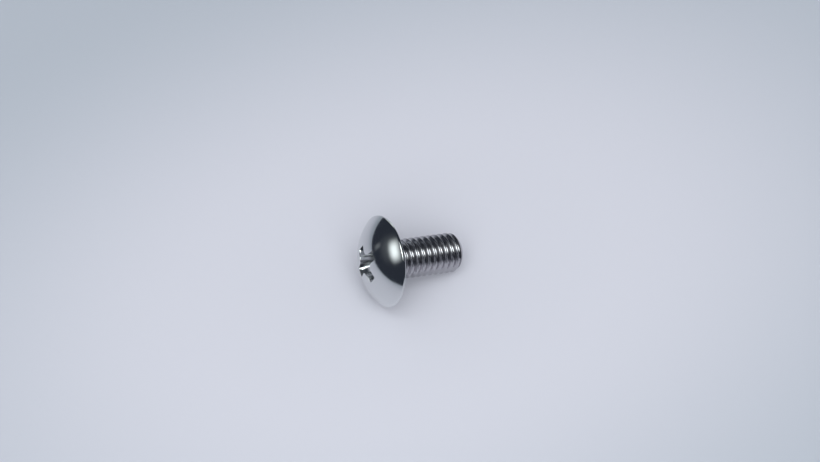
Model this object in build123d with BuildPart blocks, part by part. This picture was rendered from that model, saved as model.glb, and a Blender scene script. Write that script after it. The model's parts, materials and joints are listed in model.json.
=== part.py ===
from build123d import *
import os
from math import asin, atan2, cos, hypot, radians, sin, sqrt, tan

# Cross-recessed truss-head machine screw, M5 x 0.8 x 10, lying on its side on a
# flat surface. Millimetres. It rests on the rim of the head and on the end of the
# thread, so its axis slopes down towards the tip. The middle of its bounding box
# stands over the origin, with the head at -X and the tip at +X. The threaded part
# of the shank is the cylinder that the thread's crests lie on.

# Shank
length = 10.0
crest_diameter = 4.9
tip_diameter = 3.7
tip_chamfer = 0.62
neck_diameter = 4.4
neck_length = 0.7
runout_length = 0.8
neck_fillet = 0.25

# Head: a low dome over a narrow rim
head_diameter = 11.3
head_height = 2.75
rim_height = 0.3
rim_rounding = 0.13

# Cross recess, type H, No. 2. Its arms narrow from the mouth to the floor, and its
# inner corners are blunted. Angles are in degrees.
mouth_span = 4.6
floor_span = 2.3
mouth_arm_width = 1.24
floor_arm_width = 0.76
mouth_core_diameter = 2.3
floor_core_diameter = 1.72
end_angle = 26.5
corner_angle = 25.0
point_angle = 28.0
recess_turn = 9.0
tool_overshoot = 0.3

# Radii
crest_radius = crest_diameter / 2
neck_radius = neck_diameter / 2
tip_radius = tip_diameter / 2
head_radius = head_diameter / 2

# The dome is part of a sphere through the apex and the top of the rim
dome_rise = head_height - rim_height
dome_radius = (head_radius**2 + dome_rise**2) / (2 * dome_rise)

# The resting slope: one line touches the rim's rounding and the end of the thread
thread_end = length - tip_chamfer
contact_run = thread_end + rim_rounding
contact_drop = head_radius - rim_rounding - crest_radius
slope = atan2(contact_drop, contact_run) + asin(rim_rounding / hypot(contact_run, contact_drop))

# The middle of the bearing face, which is the flat underside of the head
back_x = (dome_radius - head_height) * cos(slope) - dome_radius
front_x = length * cos(slope) + tip_radius * sin(slope)
face_x = -(back_x + front_x) / 2
face_z = (head_radius - rim_rounding) * cos(slope) + rim_rounding * (1 - sin(slope))
face_centre = Vector(face_x, 0, face_z)

# Planes through the middle of the bearing face: across the screw, with its normal
# towards the tip, and along the screw, with x outwards and y towards the tip
towards_tip = Vector(cos(slope), 0, -sin(slope))
outwards = Vector(sin(slope), 0, cos(slope))
across = Plane(origin=face_centre, x_dir=outwards, z_dir=towards_tip)
along = Plane(origin=face_centre, x_dir=outwards, z_dir=outwards.cross(towards_tip))
screw_axis = Axis(face_centre, towards_tip)

# Levels in the recess, measured from the bearing face towards the tip: where the
# ends of the arms meet the dome, where they meet the point, and the point's end
end_slope = tan(radians(end_angle))
mouth_level = dome_radius - sqrt(dome_radius**2 - (mouth_span / 2) ** 2) - head_height
floor_level = mouth_level + (mouth_span - floor_span) / 2 / end_slope
point_level = floor_level + floor_span / 2 * tan(radians(point_angle))
top_level = -head_height - tool_overshoot


def recess_outline(level):
    """The corners of the cross at a level, in order around the screw's axis."""
    down = (level - mouth_level) / (floor_level - mouth_level)
    half_span = mouth_span / 2 - (level - mouth_level) * end_slope
    half_width = (mouth_arm_width + (floor_arm_width - mouth_arm_width) * down) / 2
    core = mouth_core_diameter + (floor_core_diameter - mouth_core_diameter) * down
    corner = core / 2 / sqrt(2)
    root = corner + (corner - half_width) / tan(radians(corner_angle))
    arm = [(half_span, -half_width), (half_span, half_width), (root, half_width)]
    arm += [(corner, corner), (half_width, root)]
    turns = [recess_turn + 90 * quarter for quarter in range(4)]
    return [Vector(x, y).rotate(Axis.Z, turn) for turn in turns for x, y in arm]


with BuildPart() as recess_tool:
    for level in (top_level, floor_level):
        with BuildSketch(across.offset(level)):
            Polygon(*recess_outline(level), align=None)
    loft()
    with BuildSketch(across.offset(floor_level)):
        Polygon(*recess_outline(floor_level), align=None)
    extrude(amount=point_level - floor_level)
    cone_rise = head_radius * tan(radians(point_angle))
    with BuildSketch(along):
        Polygon(
            (0, point_level),
            (head_radius, point_level - cone_rise),
            (head_radius, top_level),
            (0, top_level),
            align=None,
        )
    revolve(axis=screw_axis, mode=Mode.INTERSECT)

with BuildPart() as machine_screw:
    with BuildSketch(along) as profile:
        apex = (0, -head_height)
        rim_top = (head_radius, -rim_height)
        rim_bottom = (head_radius, 0)
        neck_corner = (neck_radius, 0)
        with BuildLine():
            RadiusArc(apex, rim_top, -dome_radius)
            Polyline(
                rim_top,
                rim_bottom,
                neck_corner,
                (neck_radius, neck_length),
                (crest_radius, neck_length + runout_length),
                (crest_radius, thread_end),
                (tip_radius, length),
                (0, length),
                apex,
            )
        make_face()
        for corner, rounding in (
            (rim_top, rim_rounding),
            (rim_bottom, rim_rounding),
            (neck_corner, neck_fillet),
        ):
            fillet(profile.vertices().sort_by_distance(corner)[0], rounding)
    revolve(axis=screw_axis)
    add(recess_tool.part, mode=Mode.SUBTRACT)
machine_screw.part.label = "machine_screw"

os.makedirs("parts", exist_ok=True)
export_step(machine_screw.part, "parts/machine_screw.step")
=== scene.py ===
import json
from math import acos, asin, ceil, cos, pi, radians, sin, sqrt, tan

import bmesh
import bpy
from mathutils import Matrix, Vector


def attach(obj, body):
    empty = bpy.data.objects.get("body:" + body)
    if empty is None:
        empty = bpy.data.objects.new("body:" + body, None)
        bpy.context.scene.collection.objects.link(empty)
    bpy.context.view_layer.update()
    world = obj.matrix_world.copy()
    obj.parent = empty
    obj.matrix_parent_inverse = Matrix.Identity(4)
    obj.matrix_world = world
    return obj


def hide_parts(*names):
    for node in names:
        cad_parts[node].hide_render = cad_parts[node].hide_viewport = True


# A cross-recessed truss-head machine screw, M5 x 0.8 x 10, of bright stainless steel.
# It is modelled in millimetres on its own axis, with the head's underside at zero and
# the tip at +Z, and is then laid where the record's mounts say.

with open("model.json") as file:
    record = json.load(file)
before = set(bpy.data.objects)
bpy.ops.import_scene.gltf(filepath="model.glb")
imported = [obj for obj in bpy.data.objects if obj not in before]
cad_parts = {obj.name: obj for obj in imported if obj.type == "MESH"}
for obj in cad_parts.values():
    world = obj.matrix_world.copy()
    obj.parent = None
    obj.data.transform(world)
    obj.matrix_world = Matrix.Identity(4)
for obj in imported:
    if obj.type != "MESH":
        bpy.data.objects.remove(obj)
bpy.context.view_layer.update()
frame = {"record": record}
MM = 0.001

# Shank and thread, millimetres
LENGTH = 10.0
PITCH = 0.8
CREST_RADIUS = 2.45
PITCH_RADIUS = 2.21
ROOT_RADIUS = 1.99
TIP_RADIUS = 1.85
TIP_CHAMFER = 0.62
NECK_RADIUS = 2.2
NECK_LENGTH = 0.7
RUNOUT_LENGTH = 0.8
NECK_FILLET = 0.25
FLANK_ANGLE = radians(30)
CREST_ROUNDING = 0.1
ROOT_ROUNDING = 0.1

# Where the thread's solid starts inside the neck, and the core that it closes round
THREAD_START = NECK_LENGTH - 0.15
THREAD_INSET = 0.005
CREST_CLEARANCE = 0.001
CORE_START = NECK_LENGTH + RUNOUT_LENGTH + 0.2
CORE_END = CORE_START + 0.3
CORE_RADIUS = ROOT_RADIUS - 0.02
CORE_END_RADIUS = ROOT_RADIUS - 0.2

# Head
HEAD_RADIUS = 5.65
HEAD_HEIGHT = 2.75
RIM_HEIGHT = 0.3
RIM_ROUNDING = 0.13
DOME_RISE = HEAD_HEIGHT - RIM_HEIGHT
DOME_RADIUS = (HEAD_RADIUS**2 + DOME_RISE**2) / (2 * DOME_RISE)
DOME_CENTRE = DOME_RADIUS - HEAD_HEIGHT

# Cross recess, type H, No. 2
MOUTH_SPAN = 4.6
FLOOR_SPAN = 2.3
MOUTH_ARM_WIDTH = 1.24
FLOOR_ARM_WIDTH = 0.76
MOUTH_CORE = 2.3
FLOOR_CORE = 1.72
END_SLOPE = tan(radians(26.5))
CORNER_SLOPE = tan(radians(25))
POINT_SLOPE = tan(radians(28))
RECESS_TURN = radians(9)
RECESS_DEPTH = (MOUTH_SPAN - FLOOR_SPAN) / 2 / END_SLOPE
RECESS_ROUNDINGS = (0.12, 0.12, 0.3, 0.25, 0.3)
MOUTH_ROUNDING = 0.07

# The rounded edge of the recess's mouth: how far out and how deep, in roundings
MOUTH_EDGE = (
    (1.0, -8.0),
    (1.05, -0.05),
    (0.74, 0.034),
    (0.45, 0.17),
    (0.2, 0.4),
    (0.05, 0.7),
    (0, 1),
)
WALL_SHARES = (0.33, 0.66)
POINT_SHARES = (0.4, 0.8, 0.98)

# Fineness of the round parts
AROUND = 256
DOME_STEPS = 56
THREAD_STEPS = 112
RIM_STEPS = 7
CREST_STEPS = 3
RECESS_CORNER_STEPS = 4
RECESS_SIDE_STEPS = 4
CORRECTIONS = 6
SMOOTH_BELOW = radians(32)
WELD = 0.0005
FINE_WELD = 0.00001

# Steel: its colour, its colour on the thread darkened as painted shade for the thread's deep
# valleys, and its roughness on the head and on the thread
STEEL = (0.64, 0.65, 0.66, 1)
# Painted shade: the thread's darker colour stands in for the shade in its valleys
THREAD_STEEL_PAINTED_SHADE = (0.5, 0.49, 0.515, 1)
SMOOTHEST = (0.09, 0.19)
ROUGHEST = (0.13, 0.27)
PATCH_SIZE = 0.6 * MM
UNEVENNESS = 0.05
BUMP_DEPTH = 0.02 * MM
NOISE_DETAIL = 4
NOISE_SPREAD = (0.3, 0.7)

# What the steel mirrors: directions and turns in degrees, sizes and distances in metres
PANEL_CORE = 0.1
PANEL_COLOUR = (0.93, 1.0, 0.99, 1)
PANELS = (
    # name, compass angle, height angle, distance, width, height, turn, strength
    ("window", -95, 40, 0.4, 0.2, 0.36, 75, 1.5),
    ("window_wall", -106, 34, 0.5, 0.55, 0.5, 0, 0.07),
    ("doorway", -121, 10, 0.4, 0.08, 0.14, 0, 0.16),
    ("ceiling_strip", -15, 76, 0.4, 0.5, 0.34, 0, 8.0),
    ("far_wall", 158, 12, 0.6, 0.9, 0.3, 0, 1.2),
)

# The light: direction in degrees, size and distance in metres, power in watts
CEILING_DIRECTION = (-22, 60)
CEILING_DISTANCE = 0.8
CEILING_SIZE = 1.0
CEILING_POWER = 5.4
CEILING_COLOUR = (0.97, 0.98, 1.0)

# The room as it lights, as the steel mirrors it, and as it shows behind the table
PALE_AIR = (0.4, 0.41, 0.44, 1)
DARK_ROOM = (0.03, 0.036, 0.05, 1)
BACKDROP = (0.6, 0.63, 0.7, 1)

# The table, metres, and its colour: a painted pool of light round the screw, and painted falloff
# darker further out
TABLE_SIZE = 0.6
TABLE_MIDDLE_X = 0.215
TABLE_MIDDLE_Y = 0.2
TABLE_ROUGHNESS = 0.4
PAINTED_LIGHT_POOL_COLOUR = (0.74, 0.755, 0.82, 1)
PAINTED_FALLOFF_COLOUR = (0.53, 0.58, 0.64, 1)
LIGHT_POOL_TURN = radians(22.4)
LIGHT_POOL_WIDTH = 0.05
LIGHT_POOL_DEPTH = 0.033
LIGHT_POOL_FADE = (0.5, 1.7)

# The camera: angles in degrees, lens in millimetres, the rest in metres
CAMERA_DIRECTION = (-22.4, 57.47)
CAMERA_ROLL = radians(1.16)
CAMERA_DISTANCE = 305 * MM
CAMERA_AIM = Vector((0.53, 1.76, 7.34)) * MM
CAMERA_LENS = 109.8
CAMERA_NEAREST = 0.01
CAMERA_FURTHEST = 10


def rounded(corners, steps, closed=False):
    """The points of an outline whose corners, given as (x, y, radius), are arcs."""
    points = []
    for i, (x, y, radius) in enumerate(corners):
        here = Vector((x, y))
        at_end = i in (0, len(corners) - 1) and not closed
        if at_end or not radius:
            points.append(here)
            continue
        back = (Vector(corners[i - 1][:2]) - here).normalized()
        ahead = (Vector(corners[(i + 1) % len(corners)][:2]) - here).normalized()
        half = acos(max(-1.0, min(1.0, back.dot(ahead)))) / 2
        centre = here + (back + ahead).normalized() * radius / sin(half)
        first = here + back * radius / tan(half) - centre
        last = here + ahead * radius / tan(half) - centre
        swing = pi - 2 * half
        for step in range(steps + 1):
            share = step / steps
            arm = first * sin((1 - share) * swing) + last * sin(share * swing)
            points.append(centre + arm / sin(swing))
    return points


def start_vertex(name, point):
    """A new mesh of one vertex at a point, left in edit mode with the vertex selected."""
    bpy.ops.object.select_all(action="DESELECT")
    bpy.ops.mesh.primitive_plane_add(size=0.1)
    piece = bpy.context.object
    piece.name = name
    bpy.ops.object.mode_set(mode="EDIT")
    bpy.ops.mesh.merge(type="CENTER")
    bpy.ops.transform.translate(value=point)
    return piece


def trace(name, outline):
    """Extrudes one vertex from point to point, in the plane through the screw's axis."""
    points = [Vector((x, 0, z)) for x, z in outline]
    piece = start_vertex(name, points[0])
    for before, after in zip(points, points[1:]):
        bpy.ops.mesh.extrude_region_move(TRANSFORM_OT_translate={"value": after - before})
    bpy.ops.mesh.select_all(action="SELECT")
    return piece


def close_up(merge_distance=WELD):
    """Welds what was spun or swept, and turns its faces outwards."""
    bpy.ops.mesh.select_all(action="SELECT")
    bpy.ops.mesh.remove_doubles(threshold=merge_distance)
    bpy.ops.mesh.select_all(action="DESELECT")
    bpy.ops.mesh.select_non_manifold()
    bpy.ops.mesh.fill_holes(sides=0)
    bpy.ops.mesh.select_all(action="SELECT")
    bpy.ops.mesh.normals_make_consistent(inside=False)
    bpy.ops.object.mode_set(mode="OBJECT")


def lathe(name, outline, steps=AROUND):
    """A closed solid of revolution about the screw's axis."""
    piece = trace(name, outline)
    bpy.ops.mesh.spin(steps=steps, angle=2 * pi, center=(0, 0, 0), axis=(0, 0, 1))
    close_up()
    return piece


def combine(piece, other, operation):
    """Cuts with, joins or keeps what is shared with another solid, which is used up."""
    bpy.ops.object.select_all(action="DESELECT")
    bpy.context.view_layer.objects.active = piece
    piece.select_set(True)
    boolean = piece.modifiers.new(operation.lower(), "BOOLEAN")
    boolean.operation = operation
    boolean.solver = "EXACT"
    boolean.object = other
    bpy.ops.object.modifier_apply(modifier=boolean.name)
    bpy.data.objects.remove(other)


def dome_level(radius):
    """How far along the axis the dome's surface is, at a distance from the axis."""
    return DOME_CENTRE - sqrt(DOME_RADIUS**2 - radius**2)


def make_head():
    """The dome, rim, bearing face and neck, with a core that the thread grows from."""
    widest = asin(HEAD_RADIUS / DOME_RADIUS)
    arc = [widest * step / DOME_STEPS for step in range(DOME_STEPS)]
    corners = [(DOME_RADIUS * sin(a), DOME_CENTRE - DOME_RADIUS * cos(a), 0) for a in arc]
    corners += [
        (HEAD_RADIUS, -RIM_HEIGHT, RIM_ROUNDING),
        (HEAD_RADIUS, 0, RIM_ROUNDING),
        (NECK_RADIUS, 0, NECK_FILLET),
        (NECK_RADIUS, NECK_LENGTH, 0),
        (CORE_RADIUS, CORE_START, 0),
        (CORE_END_RADIUS, CORE_END, 0),
        (0, CORE_END, 0),
    ]
    return lathe("machine_screw_detail", rounded(corners, steps=RIM_STEPS))


def recess_corners(level):
    """One arm of the cross and the blunted corner beside it, at a level."""
    mouth_level = dome_level(MOUTH_SPAN / 2)
    down = (level - mouth_level) / RECESS_DEPTH
    half_span = MOUTH_SPAN / 2 - (level - mouth_level) * END_SLOPE
    half_width = (MOUTH_ARM_WIDTH + (FLOOR_ARM_WIDTH - MOUTH_ARM_WIDTH) * down) / 2
    corner = (MOUTH_CORE + (FLOOR_CORE - MOUTH_CORE) * down) / 2 / sqrt(2)
    root = corner + (corner - half_width) / CORNER_SLOPE
    arm = [(half_span, -half_width), (half_span, half_width), (root, half_width)]
    return arm + [(corner, corner), (half_width, root)]


def recess_outline(level):
    """The whole cross at a level, with small arcs at its corners and even points between."""
    corners = []
    for quarter in range(4):
        turn = RECESS_TURN + quarter * pi / 2
        for (x, y), radius in zip(recess_corners(level), RECESS_ROUNDINGS):
            turned = (x * cos(turn) - y * sin(turn), x * sin(turn) + y * cos(turn))
            corners.append((*turned, radius))
    arcs = rounded(corners, steps=RECESS_CORNER_STEPS, closed=True)
    points = []
    for i, point in enumerate(arcs):
        points.append(point)
        arc_ends_here = i % (RECESS_CORNER_STEPS + 1) == RECESS_CORNER_STEPS
        if arc_ends_here:
            ahead = arcs[(i + 1) % len(arcs)]
            for step in range(1, RECESS_SIDE_STEPS):
                points.append(point.lerp(ahead, step / RECESS_SIDE_STEPS))
    return points


def recess_rings():
    """Closed rings of points, from above the mouth down the walls to the recess's point."""
    top, bottom = -HEAD_HEIGHT, 0.0
    top_outline, bottom_outline = recess_outline(top), recess_outline(bottom)
    point_level = dome_level(MOUTH_SPAN / 2) + RECESS_DEPTH + FLOOR_SPAN / 2 * POINT_SLOPE

    def meet(i, level_at):
        """Where a wall's slanting line meets a surface, found by a few corrections."""
        level = top
        for _ in range(CORRECTIONS):
            spot = top_outline[i].lerp(bottom_outline[i], (level - top) / (bottom - top))
            level = level_at(spot.length)
        return spot, level

    def outwards(i):
        """Square to the outline, away from the recess."""
        along = top_outline[(i + 1) % len(top_outline)] - top_outline[i - 1]
        return Vector((along.y, -along.x)).normalized()

    rings = []
    for offset, sink in MOUTH_EDGE:
        ring = []
        for i in range(len(top_outline)):
            sunk = sink * MOUTH_ROUNDING
            spot, level = meet(i, lambda r: dome_level(min(r, HEAD_RADIUS)) + sunk)
            out = spot + outwards(i) * offset * MOUTH_ROUNDING
            ring.append(Vector((out.x, out.y, level)))
        rings.append(ring)
    floor = []
    for i in range(len(top_outline)):
        spot, level = meet(i, lambda r: point_level - r * POINT_SLOPE)
        floor.append(Vector((spot.x, spot.y, level)))
    edge = rings[-1]
    rings += [[a.lerp(b, share) for a, b in zip(edge, floor)] for share in WALL_SHARES]
    rings.append(floor)
    point = Vector((0, 0, point_level))
    rings += [[spot.lerp(point, share) for spot in floor] for share in POINT_SHARES]
    return rings


def make_recess_tool():
    """A solid the shape of the recess, flared at the mouth to round its edge."""
    rings = recess_rings()
    bpy.ops.object.select_all(action="DESELECT")
    bpy.ops.mesh.primitive_circle_add(vertices=len(rings[0]), radius=1)
    tool = bpy.context.object
    tool.name = "recess_tool"
    bpy.ops.object.mode_set(mode="EDIT")
    mesh = bmesh.from_edit_mesh(tool.data)
    places = {}
    for i, vertex in enumerate(mesh.verts):
        places[vertex.index] = i
        vertex.co = rings[0][i]
    bmesh.update_edit_mesh(tool.data)
    bpy.ops.mesh.select_all(action="SELECT")
    for ring in rings[1:]:
        bpy.ops.mesh.extrude_region()
        mesh = bmesh.from_edit_mesh(tool.data)
        # Each new vertex takes the same place in its ring as the one that it grew from.
        moved = {}
        for vertex in mesh.verts:
            if vertex.select:
                ends = [edge.other_vert(vertex) for edge in vertex.link_edges]
                above = next(end for end in ends if not end.select)
                moved[vertex.index] = places[above.index]
                vertex.co = ring[places[above.index]]
        places = moved
        bmesh.update_edit_mesh(tool.data)
    close_up(FINE_WELD)
    return tool


def make_thread():
    """One pitch of the thread's outline, swept round and along, then cut to the shank."""
    crest_flat = PITCH / 2 - 2 * (CREST_RADIUS - PITCH_RADIUS) * tan(FLANK_ANGLE)
    flank_run = (CREST_RADIUS - ROOT_RADIUS) * tan(FLANK_ANGLE)
    first_crest = LENGTH - TIP_CHAMFER - crest_flat / 2 - PITCH / 2
    turns_below = ceil((first_crest + PITCH / 2) / PITCH)
    base = first_crest - turns_below * PITCH
    turns = ceil((LENGTH - base) / PITCH) + 2
    corners = [
        (CREST_RADIUS, 0, 0),
        (CREST_RADIUS, crest_flat / 2, CREST_ROUNDING),
        (ROOT_RADIUS, crest_flat / 2 + flank_run, ROOT_ROUNDING),
        (ROOT_RADIUS, PITCH - crest_flat / 2 - flank_run, ROOT_ROUNDING),
        (CREST_RADIUS, PITCH - crest_flat / 2, CREST_ROUNDING),
        (CREST_RADIUS, PITCH, 0),
    ]
    outline = [(r, base + z) for r, z in rounded(corners, steps=CREST_STEPS)]
    thread = trace("thread", outline)
    bpy.ops.object.mode_set(mode="OBJECT")
    sweep = thread.modifiers.new("sweep", "SCREW")
    sweep.axis = "Z"
    sweep.angle = 2 * pi
    sweep.screw_offset = PITCH
    sweep.iterations = turns
    sweep.steps = THREAD_STEPS
    sweep.render_steps = THREAD_STEPS
    bpy.ops.object.modifier_apply(modifier=sweep.name)
    bpy.ops.object.mode_set(mode="EDIT")
    close_up()
    crest = CREST_RADIUS + CREST_CLEARANCE
    shank = [
        (0, THREAD_START),
        (NECK_RADIUS - THREAD_INSET, THREAD_START),
        (NECK_RADIUS - THREAD_INSET, NECK_LENGTH),
        (crest, NECK_LENGTH + RUNOUT_LENGTH),
        (crest, LENGTH - TIP_CHAMFER),
        (TIP_RADIUS, LENGTH),
        (0, LENGTH),
    ]
    envelope = lathe("envelope", shank, steps=THREAD_STEPS)
    combine(thread, envelope, "INTERSECT")
    return thread


def screw_axis():
    """The middle of the bearing face and the direction to the tip, from the record."""
    mount = next(m for m in frame["record"]["mounts"] if m["name"] == "thread")
    along = Vector(mount["axis"]).normalized()
    middle = (NECK_LENGTH + RUNOUT_LENGTH + LENGTH - TIP_CHAMFER) / 2 * MM
    return Vector(mount["pos_m"]) - along * middle, along


def lay_down(piece):
    """Turns the screw from its own axis to where the record's mounts put it."""
    centre, along = screw_axis()
    across = Vector((0, -1, 0))
    upwards = across.cross(along)
    turn = Matrix((upwards, across, along)).transposed().to_4x4()
    piece.matrix_world = Matrix.Translation(centre) @ turn @ Matrix.Scale(MM, 4)
    bpy.ops.object.select_all(action="DESELECT")
    bpy.context.view_layer.objects.active = piece
    piece.select_set(True)
    bpy.ops.object.transform_apply(location=True, rotation=True, scale=True)


def feed(links, value, socket):
    """Sets a socket to a plain value, or links it to another node's output."""
    if isinstance(value, bpy.types.NodeSocket):
        links.new(value, socket)
    else:
        socket.default_value = value


def change_over(tree, value, start, end, first=0.0, last=1.0, smooth=False):
    """Goes from the first value to the last while the given value goes from start to end."""
    node = tree.nodes.new("ShaderNodeMapRange")
    node.interpolation_type = "SMOOTHSTEP" if smooth else "LINEAR"
    node.inputs["From Min"].default_value = start
    node.inputs["From Max"].default_value = end
    feed(tree.links, first, node.inputs["To Min"])
    feed(tree.links, last, node.inputs["To Max"])
    tree.links.new(value, node.inputs["Value"])
    return node.outputs["Result"]


def mix_colours(tree, share, first, second):
    """Blends two colours. The sockets go by place, since a Mix node has several of each name."""
    node = tree.nodes.new("ShaderNodeMix")
    node.data_type = "RGBA"
    tree.links.new(share, node.inputs[0])
    feed(tree.links, first, node.inputs[6])
    feed(tree.links, second, node.inputs[7])
    return node.outputs[2]


def fine_texture_group():
    """Roughness that varies a little over a surface, and a faint unevenness to go with it."""
    group = bpy.data.node_groups.new("fine_texture", "ShaderNodeTree")
    sockets = (
        ("Vector", "INPUT", "NodeSocketVector"),
        ("Patch Size", "INPUT", "NodeSocketFloat"),
        ("Smoothest", "INPUT", "NodeSocketFloat"),
        ("Roughest", "INPUT", "NodeSocketFloat"),
        ("Unevenness", "INPUT", "NodeSocketFloat"),
        ("Roughness", "OUTPUT", "NodeSocketFloat"),
        ("Normal", "OUTPUT", "NodeSocketVector"),
    )
    for name, way, kind in sockets:
        group.interface.new_socket(name, in_out=way, socket_type=kind)
    nodes, links = group.nodes, group.links
    given, result = nodes.new("NodeGroupInput"), nodes.new("NodeGroupOutput")
    detail = nodes.new("ShaderNodeMath")
    detail.operation = "DIVIDE"
    detail.inputs[0].default_value = 1.0
    links.new(given.outputs["Patch Size"], detail.inputs[1])
    noise = nodes.new("ShaderNodeTexNoise")
    noise.inputs["Detail"].default_value = NOISE_DETAIL
    links.new(given.outputs["Vector"], noise.inputs["Vector"])
    links.new(detail.outputs[0], noise.inputs["Scale"])
    smoothest, roughest = given.outputs["Smoothest"], given.outputs["Roughest"]
    roughness = change_over(group, noise.outputs["Fac"], *NOISE_SPREAD, smoothest, roughest)
    links.new(roughness, result.inputs["Roughness"])
    bump = nodes.new("ShaderNodeBump")
    bump.inputs["Distance"].default_value = BUMP_DEPTH
    links.new(given.outputs["Unevenness"], bump.inputs["Strength"])
    links.new(noise.outputs["Fac"], bump.inputs["Height"])
    links.new(bump.outputs["Normal"], result.inputs["Normal"])
    return group


def bright_steel():
    """Polished on the head, and duller on the rolled thread, whose colour is darkened a little
    there as painted shade for its deep valleys.
    """
    material = bpy.data.materials.new("bright_steel")
    material.use_nodes = True
    tree = material.node_tree
    nodes, links = tree.nodes, tree.links
    shader = nodes["Principled BSDF"]
    shader.inputs["Metallic"].default_value = 1
    place = nodes.new("ShaderNodeTexCoord")
    centre, along = screw_axis()
    distance = nodes.new("ShaderNodeVectorMath")
    distance.operation = "DOT_PRODUCT"
    distance.inputs[1].default_value = along
    links.new(place.outputs["Object"], distance.inputs[0])
    down_shank = distance.outputs["Value"]
    head_end = centre.dot(along)
    thread_end = head_end + NECK_LENGTH * MM
    texture = nodes.new("ShaderNodeGroup")
    texture.node_tree = fine_texture_group()
    texture.inputs["Patch Size"].default_value = PATCH_SIZE
    texture.inputs["Unevenness"].default_value = UNEVENNESS
    links.new(place.outputs["Object"], texture.inputs["Vector"])
    for name, on_head_and_thread in (("Smoothest", SMOOTHEST), ("Roughest", ROUGHEST)):
        roughness = change_over(tree, down_shank, head_end, thread_end, *on_head_and_thread)
        links.new(roughness, texture.inputs[name])
    links.new(texture.outputs["Roughness"], shader.inputs["Roughness"])
    links.new(texture.outputs["Normal"], shader.inputs["Normal"])
    # Painted shade: the colour goes darker along the thread, standing in for the shade in its
    # valleys
    painted_thread_shade = change_over(tree, down_shank, head_end, thread_end)
    links.new(mix_colours(tree, painted_thread_shade, STEEL, THREAD_STEEL_PAINTED_SHADE), shader.inputs["Base Color"])
    return material


def make_screw():
    """The head with its recess cut and its thread joined on, in its finish."""
    screw = make_head()
    combine(screw, make_recess_tool(), "DIFFERENCE")
    combine(screw, make_thread(), "UNION")
    lay_down(screw)
    bpy.ops.object.shade_smooth_by_angle(angle=SMOOTH_BELOW)
    screw.data.materials.clear()
    screw.data.materials.append(bright_steel())
    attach(screw, "root")
    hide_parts("machine_screw")


def table_top():
    """A pale, slightly glossy surface, with a painted pool of light round the screw and painted
    falloff darker away from it.
    """
    material = bpy.data.materials.new("table_top")
    material.use_nodes = True
    tree = material.node_tree
    nodes, links = tree.nodes, tree.links
    shader = nodes["Principled BSDF"]
    shader.inputs["Roughness"].default_value = TABLE_ROUGHNESS
    place = nodes.new("ShaderNodeTexCoord")
    mapping = nodes.new("ShaderNodeMapping")
    mapping.inputs["Rotation"].default_value = (0, 0, LIGHT_POOL_TURN)
    mapping.inputs["Scale"].default_value = (1 / LIGHT_POOL_WIDTH, 1 / LIGHT_POOL_DEPTH, 1)
    links.new(place.outputs["Object"], mapping.inputs["Vector"])
    distance = nodes.new("ShaderNodeVectorMath")
    distance.operation = "LENGTH"
    links.new(mapping.outputs["Vector"], distance.inputs[0])
    # Painted light: the pale patch round the screw is a painted pool of light, and the darker
    # colour further out is painted falloff
    outside_light_pool = change_over(tree, distance.outputs["Value"], *LIGHT_POOL_FADE, smooth=True)
    links.new(mix_colours(tree, outside_light_pool, PAINTED_LIGHT_POOL_COLOUR, PAINTED_FALLOFF_COLOUR), shader.inputs["Base Color"])
    return material


def make_table():
    """A pale table top, which ends not far beyond the head's side."""
    bpy.ops.object.select_all(action="DESELECT")
    bpy.ops.mesh.primitive_plane_add(size=1)
    table = bpy.context.object
    table.name = "table"
    bpy.ops.object.mode_set(mode="EDIT")
    bpy.ops.transform.resize(value=(TABLE_SIZE, TABLE_SIZE, 1))
    bpy.ops.transform.translate(value=(TABLE_MIDDLE_X, TABLE_MIDDLE_Y, 0))
    bpy.ops.object.mode_set(mode="OBJECT")
    table.data.materials.append(table_top())


def towards(azimuth, elevation):
    """The direction of a compass angle and a height above the table, in degrees."""
    a, e = radians(azimuth), radians(elevation)
    return Vector((sin(a) * cos(e), -cos(a) * cos(e), sin(e)))


def panel_glow(name, strength):
    """Light that fades from a panel's middle to its edges, and lets what is behind through."""
    material = bpy.data.materials.new(name)
    material.use_nodes = True
    tree = material.node_tree
    nodes, links = tree.nodes, tree.links
    nodes.clear()
    place = nodes.new("ShaderNodeTexCoord")
    split = nodes.new("ShaderNodeSeparateXYZ")
    links.new(place.outputs["Object"], split.inputs[0])
    both = nodes.new("ShaderNodeMath")
    both.operation = "MULTIPLY"
    for i, side in enumerate("XY"):
        size = nodes.new("ShaderNodeMath")
        size.operation = "ABSOLUTE"
        links.new(split.outputs[side], size.inputs[0])
        links.new(change_over(tree, size.outputs[0], 1.0, PANEL_CORE, smooth=True), both.inputs[i])
    glow = nodes.new("ShaderNodeMath")
    glow.operation = "MULTIPLY"
    glow.inputs[1].default_value = strength
    links.new(both.outputs[0], glow.inputs[0])
    light = nodes.new("ShaderNodeEmission")
    light.inputs["Color"].default_value = PANEL_COLOUR
    links.new(glow.outputs[0], light.inputs["Strength"])
    clear = nodes.new("ShaderNodeBsdfTransparent")
    added = nodes.new("ShaderNodeAddShader")
    links.new(light.outputs[0], added.inputs[0])
    links.new(clear.outputs[0], added.inputs[1])
    output = nodes.new("ShaderNodeOutputMaterial")
    links.new(added.outputs[0], output.inputs["Surface"])
    return material


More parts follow.
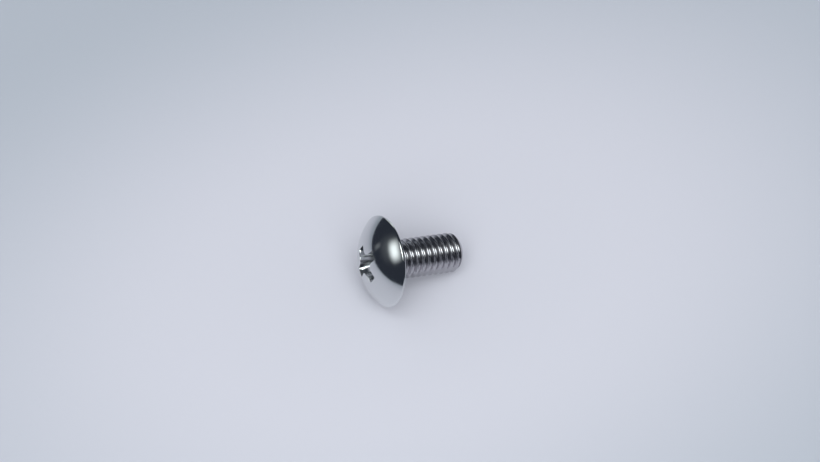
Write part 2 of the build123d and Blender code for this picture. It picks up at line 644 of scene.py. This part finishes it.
def make_bright_panel(name, azimuth, elevation, distance, width, height, turn, strength):
    """A soft bright shape for the steel to mirror, which lights nothing else."""
    bpy.ops.object.select_all(action="DESELECT")
    bpy.ops.mesh.primitive_plane_add(size=2)
    panel = bpy.context.object
    panel.name = name
    away = towards(azimuth, elevation)
    facing = away.to_track_quat("Z", "Y").to_matrix() @ Matrix.Rotation(radians(turn), 3, "Z")
    panel.location = away * distance
    panel.rotation_euler = facing.to_euler()
    panel.scale = (width / 2, height / 2, 1)
    panel.data.materials.append(panel_glow(name, strength))
    panel.visible_camera = False
    panel.visible_diffuse = False


def make_ceiling_light():
    """Wide, even light from above that the steel doesn't mirror."""
    light = bpy.data.lights.new("ceiling_light", "AREA")
    light.size = CEILING_SIZE
    light.energy = CEILING_POWER
    light.color = CEILING_COLOUR
    lamp = bpy.data.objects.new("ceiling_light", light)
    bpy.context.scene.collection.objects.link(lamp)
    away = towards(*CEILING_DIRECTION)
    lamp.location = away * CEILING_DISTANCE
    lamp.rotation_euler = away.to_track_quat("Z", "Y").to_euler()
    lamp.visible_glossy = False
    lamp.visible_camera = False


def make_world():
    """Even pale light from all round, which the steel mirrors as an unlit room."""
    world = bpy.data.worlds.new("room")
    bpy.context.scene.world = world
    world.use_nodes = True
    tree = world.node_tree
    path = tree.nodes.new("ShaderNodeLightPath")
    room = mix_colours(tree, path.outputs["Is Glossy Ray"], PALE_AIR, DARK_ROOM)
    shown = mix_colours(tree, path.outputs["Is Camera Ray"], room, BACKDROP)
    tree.links.new(shown, tree.nodes["Background"].inputs["Color"])


def make_camera():
    """Looks down on the screw from the head's side, through a long lens."""
    back = towards(*CAMERA_DIRECTION)
    data = bpy.data.cameras.new("camera")
    data.lens = CAMERA_LENS
    data.clip_start = CAMERA_NEAREST
    data.clip_end = CAMERA_FURTHEST
    camera = bpy.data.objects.new("camera", data)
    bpy.context.scene.collection.objects.link(camera)
    camera.location = CAMERA_AIM + back * CAMERA_DISTANCE
    facing = back.to_track_quat("Z", "Y").to_matrix() @ Matrix.Rotation(CAMERA_ROLL, 3, "Z")
    camera.rotation_euler = facing.to_euler()
    bpy.context.scene.camera = camera


make_camera()
make_screw()
make_table()
for panel in PANELS:
    make_bright_panel(*panel)
make_ceiling_light()
make_world()
bpy.context.scene.view_settings.view_transform = "Standard"
